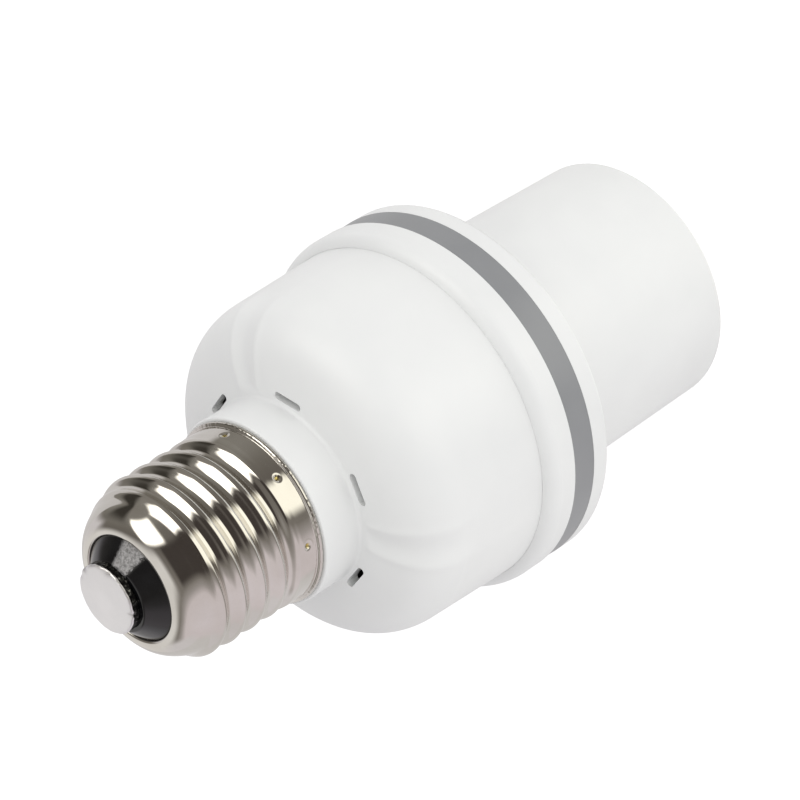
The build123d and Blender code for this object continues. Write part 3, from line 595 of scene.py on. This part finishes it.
# Contact: soldered button, a little off the cap's centre, with a worn rim
button_low, button_high = node_box("contact_button")
CONTACT_SHIFT = Vector((0.50, 0.38, 0.0))
CONTACT_COLUMNS = 240
CONTACT_PIN = 0.01
CONTACT_SAG = 0.25
FACE_SHARES = np.linspace(0.07, 0.93, 13)
CONTACT_EDGE = 0.28
EDGE_START = 0.85 * QUARTER
EDGE_ROWS = 7
SIDE_ROWS = 8
SIDE_TOP = 0.1
SIDE_FOOT = 0.08
SIDE_INSET = 0.06
CONTACT_SEAT = 0.01
CONTACT_STEM = 1.2
CONTACT_CLINCH = 2.3
RIM_RAGGED = 0.018
RIM_SHARES = (0.86, 1.0)
RIM_WAVES = [(1.0, 9, 1.3), (0.8, 17, 0.4), (0.7, 31, 2.2)]
SIDE_LUMPS = 0.05
SIDE_WAVES = [(1.0, 13, 0.9), (1.0, 23, 2.6)]

# Nicks of the rim: angle, half width in degrees, reach inwards, depth; and how far down they show
NICKS = [
    (-147.0, 5.0, 0.55, 0.32),
    (-8.0, 6.0, 0.4, 0.2),
    (12.0, 5.0, 0.35, 0.2),
    (-62.0, 9.0, 0.5, 0.18),
]
NICK_DROP = 0.4


def build_contact():
    """Satin face with a slight dome, ragged rim, side, and the stem down to its clinch."""
    base, foot, top = button_low[2], glass_high[2] + CONTACT_SEAT, button_high[2]
    under = glass_low[2] - CONTACT_SEAT
    radius = button_high[0]
    rim = top - CONTACT_SAG
    inner = radius - CONTACT_EDGE
    profile = [(CONTACT_PIN, top), (2 * CONTACT_PIN, top)]
    profile += [(radius * share, top - CONTACT_SAG * share**2) for share in FACE_SHARES]
    profile += arc((inner, rim - CONTACT_EDGE), (CONTACT_EDGE, CONTACT_EDGE), EDGE_START, 0.0, EDGE_ROWS)
    first_side = len(profile)
    low, high = glass_high[2] + SIDE_FOOT, rim - CONTACT_EDGE - SIDE_TOP
    profile += [(radius, z) for z in np.linspace(high, low, SIDE_ROWS)]
    last_side = len(profile)
    profile += [(radius - SIDE_INSET, foot), (CONTACT_STEM, foot), (CONTACT_STEM, under)]
    profile += [(CONTACT_CLINCH, under), (CONTACT_CLINCH, base), (CONTACT_PIN, base)]
    radii, heights, degrees = turned(profile, CONTACT_COLUMNS)
    by_rim = smooth(*RIM_SHARES, radii[:last_side] / radius)
    radii[:last_side] += RIM_RAGGED * ripple(degrees, RIM_WAVES) * by_rim
    side = np.linspace(0.0, 1.0, SIDE_ROWS)[:, None]
    lumps = ripple(degrees, SIDE_WAVES) * np.sin(np.pi * side)
    radii[first_side:last_side] += SIDE_LUMPS * (lumps - 1)
    for turn, width, reach, depth in NICKS:
        inwards = (radius - radii[:last_side]) / reach
        dent = np.exp(-((off_angle(degrees, turn) / width) ** 2)) * np.exp(-(inwards**2))
        heights[:last_side] -= depth * dent * (heights[:last_side] > rim - NICK_DROP)
    radii, heights = radii[::-1], heights[::-1]
    piece = ring_mesh("cap_contact", radii, heights, degrees, solder, "contact_button")
    piece.data.transform(Matrix.Translation(CONTACT_SHIFT * MM))
    return piece


build_contact()

# Dome housing: neck, face with three soft valleys, straight wall into the ring, and six vents
_, ring_high = node_box("middle_ring")
dome_low, dome_high = node_box("dome_housing")
DOME_COLUMNS = 480
DOME_WALL = 2.0
DOME_RIM = 25.93
DOME_SEAM = 0.03
RIM_CHAMFER = 0.1
SPIGOT_RADIUS = 11.7
SPIGOT_BORE = 9.65
SPIGOT_CHAMFER = 0.2
SPIGOT_ROOT = 0.3
SPIGOT_FLARE = 0.02
NECK_RADIUS = 14.1
NECK_HEIGHT = 6.6
NECK_GAP = 0.02
NECK_ROUND = 0.3
NECK_ROUND_ROWS = 6
NECK_FILLET = 0.6
NECK_FILLET_ROWS = 7
NECK_ROWS = 14
SHOULDER_DROP = 8.9
SHOULDER_RADIUS = 25.45
SHOULDER_RISE = 6.5
FACE_REACH = 5.9
FACE_FALL = 0.1
FACE_ROWS = 72
CEILING_STEP = 6
WALL_ROWS = 40
ROOM_INSET = 1.0
ROOM_FOOT = 0.5

# Distances that keep neighbouring rows apart
EDGE_GAP = 0.05
FILLET_GAP = 0.1
NECK_ROW_GAP = 0.2
WALL_ROW_GAP = 0.4

# Valleys, with angles and half widths in degrees, and vents
VALLEY_ANGLES = (91.0, 212.5, 328.5)
VALLEY_DEPTH = 0.30
VALLEY_HALF = 7.2
VALLEY_FLARE = 1.5
VALLEY_FLARE_TOP = 2.0
VALLEY_START = 1.2
VALLEY_FADE = 4.0
VALLEY_TRACE = 0.2
LIP_HEIGHT = 0.10
LIP_WIDTH = 2.0
VENT_COUNT = 6
VENT_OFFSET = 1.1
VENT_LENGTH = 4.8
VENT_WIDTH = 1.1
VENT_END_POINTS = 13
VENT_BELOW = 1.0
VENT_ABOVE = 0.5
SHARP_ANGLE = math.radians(38.0)


def bezier(points, count):
    """Points of a cubic curve in the plane of radius and height."""
    share = np.linspace(0.0, 1.0, count)[:, None]
    first, second, third, fourth = (np.array(point) for point in points)
    back = 1 - share
    start = back**3 * first + 3 * back**2 * share * second
    return start + 3 * back * share**2 * third + share**3 * fourth


def vent_cutter(angle, radius, low, high):
    """Round-ended prism that cuts one vent; its long side lies across the radius."""
    half = (VENT_LENGTH - VENT_WIDTH) / 2
    end = (VENT_WIDTH / 2, VENT_WIDTH / 2)
    outline = arc((0.0, half), end, 0.0, math.pi, VENT_END_POINTS)
    outline += arc((0.0, -half), end, math.pi, 2 * math.pi, VENT_END_POINTS)
    turn = Matrix.Rotation(angle, 3, "Z")
    points = [turn @ Vector((radius + x, y, z)) * MM for z in (low, high) for x, y in outline]
    count = len(outline)
    faces = [tuple(range(count))[::-1], tuple(range(count, 2 * count))]
    faces += [(i, (i + 1) % count, count + (i + 1) % count, count + i) for i in range(count)]
    mesh = bpy.data.meshes.new("vent_cutter")
    mesh.from_pydata(points, [], faces)
    cutter = bpy.data.objects.new("vent_cutter", mesh)
    bpy.context.scene.collection.objects.link(cutter)
    return cutter


def cut_vents(dome, neck_z):
    """Cuts the ring of vents through the dome's face."""
    cutters = []
    for index in range(VENT_COUNT):
        turn = 2 * math.pi * index / VENT_COUNT
        low, high = neck_z - DOME_WALL - VENT_BELOW, neck_z + VENT_ABOVE
        cutter = vent_cutter(turn, NECK_RADIUS + VENT_OFFSET, low, high)
        cut = dome.modifiers.new("vent", "BOOLEAN")
        cut.operation = "DIFFERENCE"
        cut.solver = "EXACT"
        cut.object = cutter
        cutters.append(cutter)
    evaluated = dome.evaluated_get(bpy.context.evaluated_depsgraph_get())
    shaped = bpy.data.meshes.new_from_object(evaluated)
    dome.modifiers.clear()
    dome.data = shaped
    shaped.name = dome.name
    shaped.set_sharp_from_angle(angle=SHARP_ANGLE)
    for cutter in cutters:
        bpy.data.objects.remove(cutter)


def build_dome():
    """Spigot, neck, face and wall down to the rim in the ring, then the room inside, and the vents."""
    neck_z = SHELL_Z - NECK_HEIGHT
    shoulder_z = neck_z - SHOULDER_DROP
    seam_z = ring_high[2]
    base = dome_low[2]
    spigot_top = dome_high[2]
    top = SHELL_Z - NECK_GAP
    round_centre = (NECK_RADIUS - NECK_ROUND, top - NECK_ROUND)
    fillet_end = NECK_RADIUS + NECK_FILLET
    fillet_z = neck_z + NECK_FILLET
    curve = bezier([
        (NECK_RADIUS, neck_z),
        (NECK_RADIUS + FACE_REACH, neck_z - FACE_FALL),
        (SHOULDER_RADIUS, shoulder_z + SHOULDER_RISE),
        (SHOULDER_RADIUS, shoulder_z),
    ], FACE_ROWS)
    profile = [
        (SPIGOT_BORE, spigot_top),
        (SPIGOT_RADIUS - SPIGOT_CHAMFER, spigot_top),
        (SPIGOT_RADIUS, spigot_top - SPIGOT_CHAMFER),
        (SPIGOT_RADIUS, top + SPIGOT_ROOT),
        (SPIGOT_RADIUS + SPIGOT_FLARE, top),
        (round_centre[0] - EDGE_GAP, top),
    ]
    profile += arc(round_centre, (NECK_ROUND, NECK_ROUND), QUARTER, 0.0, NECK_ROUND_ROWS)
    neck_top, neck_foot = round_centre[1] - NECK_ROW_GAP, fillet_z + FILLET_GAP
    profile += [(NECK_RADIUS, z) for z in np.linspace(neck_top, neck_foot, NECK_ROWS)]
    fillet = (NECK_FILLET, NECK_FILLET)
    profile += arc((fillet_end, fillet_z), fillet, math.pi, 3 * QUARTER, NECK_FILLET_ROWS)
    first_face = len(profile)
    profile += [tuple(point) for point in curve if point[0] > fillet_end + FILLET_GAP]
    for z in np.linspace(shoulder_z - WALL_ROW_GAP, seam_z + WALL_ROW_GAP, WALL_ROWS):
        share = (shoulder_z - z) / (shoulder_z - seam_z)
        profile.append((SHOULDER_RADIUS + (DOME_RIM - DOME_SEAM - SHOULDER_RADIUS) * share, z))
    last_face = len(profile)
    profile += [
        (DOME_RIM, seam_z - RIM_CHAMFER),
        (DOME_RIM, base + RIM_CHAMFER),
        (DOME_RIM - RIM_CHAMFER, base),
        (DOME_RIM - DOME_WALL, base),
        (SHOULDER_RADIUS - DOME_WALL, shoulder_z),
    ]
    ceiling = curve[::-CEILING_STEP] - np.array((0.0, DOME_WALL))
    ceiling[:, 0] = np.minimum(ceiling[:, 0], SHOULDER_RADIUS - DOME_WALL)
    for radius, z in ceiling:
        if radius > SPIGOT_BORE + ROOM_INSET and z > shoulder_z + ROOM_FOOT:
            profile.append((radius, z))
    profile.append((SPIGOT_BORE, neck_z - DOME_WALL))
    radii, heights, degrees = turned(profile, DOME_COLUMNS)

    # Valleys sink along the face's own normal, widen down the wall and run out at the ring
    face = slice(first_face, last_face)
    slope = np.gradient(np.array(profile), axis=0)[face]
    slope /= np.linalg.norm(slope, axis=1)[:, None]
    out, low = radii[face, :1], heights[face, :1]
    start = smooth(fillet_end, fillet_end + VALLEY_START, out)
    fade = smooth(shoulder_z - VALLEY_FADE, shoulder_z + VALLEY_FADE, low)
    strength = start * (VALLEY_TRACE + (1 - VALLEY_TRACE) * fade)
    half = VALLEY_HALF + VALLEY_FLARE * (1 - smooth(seam_z, shoulder_z + VALLEY_FLARE_TOP, low))
    sink = np.zeros_like(radii[face])
    for centre in VALLEY_ANGLES:
        away = np.abs(off_angle(degrees, centre))
        trough = VALLEY_DEPTH * np.cos(QUARTER * np.clip(away / half, 0.0, 1.0)) ** 2
        lips = LIP_HEIGHT * np.exp(-(((away - half) / LIP_WIDTH) ** 2))
        sink += (trough - lips) * strength
    radii[face] += slope[:, 1:] * sink
    heights[face] -= slope[:, :1] * sink
    dome = ring_mesh("dome_skin", radii, heights, degrees, white, "dome_housing")
    cut_vents(dome, neck_z)
    return dome


build_dome()


# Floor
def build_floor():
    """Pale floor that glows softly and stays out of the metal's reflections."""
    mesh = bpy.data.meshes.new("floor")
    grid = bmesh.new()
    bmesh.ops.create_grid(grid, x_segments=1, y_segments=1, size=FLOOR_SIZE / 2)
    grid.to_mesh(mesh)
    grid.free()
    floor = bpy.data.objects.new("floor", mesh)
    bpy.context.scene.collection.objects.link(floor)
    material, _, shader = new_material("pale_floor")
    shader.inputs["Base Color"].default_value = FLOOR_COLOUR
    shader.inputs["Roughness"].default_value = FLOOR_ROUGHNESS
    shader.inputs["Emission Color"].default_value = GLOW_COLOUR
    shader.inputs["Emission Strength"].default_value = FLOOR_GLOW
    mesh.materials.append(material)
    floor.visible_glossy = False


build_floor()


# Studio light
def build_world():
    """Bright surround for the soft light, and a dim room with lit panels for the reflections."""
    world = bpy.data.worlds.new("studio")
    bpy.context.scene.world = world
    world.use_nodes = True
    tree = world.node_tree
    direction = tree.nodes.new("ShaderNodeTexCoord").outputs["Generated"]

    def along(axis):
        """Share of a ray's direction that runs along an axis."""
        node = tree.nodes.new("ShaderNodeVectorMath")
        node.operation = "DOT_PRODUCT"
        node.inputs[1].default_value = axis
        tree.links.new(direction, node.inputs[0])
        return node.outputs["Value"]

    # Angle across the plane of the axis and the camera, and angle within it up from the facing side
    across = combine(tree, "ARCSINE", along(FACING_ACROSS))
    within = combine(tree, "ARCTAN2", along(UPWARDS), along(FACING_OUT))

    soft_light = ramp(tree, spread(tree, along(LIGHT_SIDE), 0.0, 1.0, -1.0, 1.0), SOFT_LIGHT)
    room = ramp(tree, spread(tree, across, 0.0, 1.0, -QUARTER, QUARTER), ROOM)
    for across_range, within_range, soft, colour in PANELS:
        edge = (math.radians(soft), math.radians(soft))
        over = band(tree, across, *np.radians(across_range), edge)
        over = combine(tree, "MULTIPLY", over, band(tree, within, *np.radians(within_range), edge))
        room = blend(tree, over, room, colour)
    rays = tree.nodes.new("ShaderNodeLightPath")
    light = blend(tree, rays.outputs["Is Glossy Ray"], soft_light, room)
    tree.links.new(light, tree.nodes["Background"].inputs["Color"])


build_world()


# Camera
def place_camera():
    """Camera at the photograph's angle, rolled as the photograph was."""
    camera_data = bpy.data.cameras.new("camera")
    camera_data.lens = LENS
    camera_data.sensor_width = SENSOR
    camera_data.clip_start = CLIP_START
    camera = bpy.data.objects.new("camera", camera_data)
    bpy.context.scene.collection.objects.link(camera)
    azimuth, elevation, roll = map(math.radians, (CAMERA_AZIMUTH, CAMERA_ELEVATION, CAMERA_ROLL))
    back = Vector((
        math.sin(azimuth) * math.cos(elevation),
        -math.cos(azimuth) * math.cos(elevation),
        math.sin(elevation),
    ))
    level_right = (-back).cross(UPWARDS).normalized()
    level_up = level_right.cross(-back)
    up = level_up * math.cos(roll) + level_right * math.sin(roll)
    right = up.cross(back)
    turn = Matrix((right, up, back)).transposed().to_4x4()
    camera.matrix_world = Matrix.Translation(CAMERA_TARGET + back * CAMERA_DISTANCE) @ turn
    bpy.context.scene.camera = camera


place_camera()
bpy.context.scene.view_settings.view_transform = "Standard"
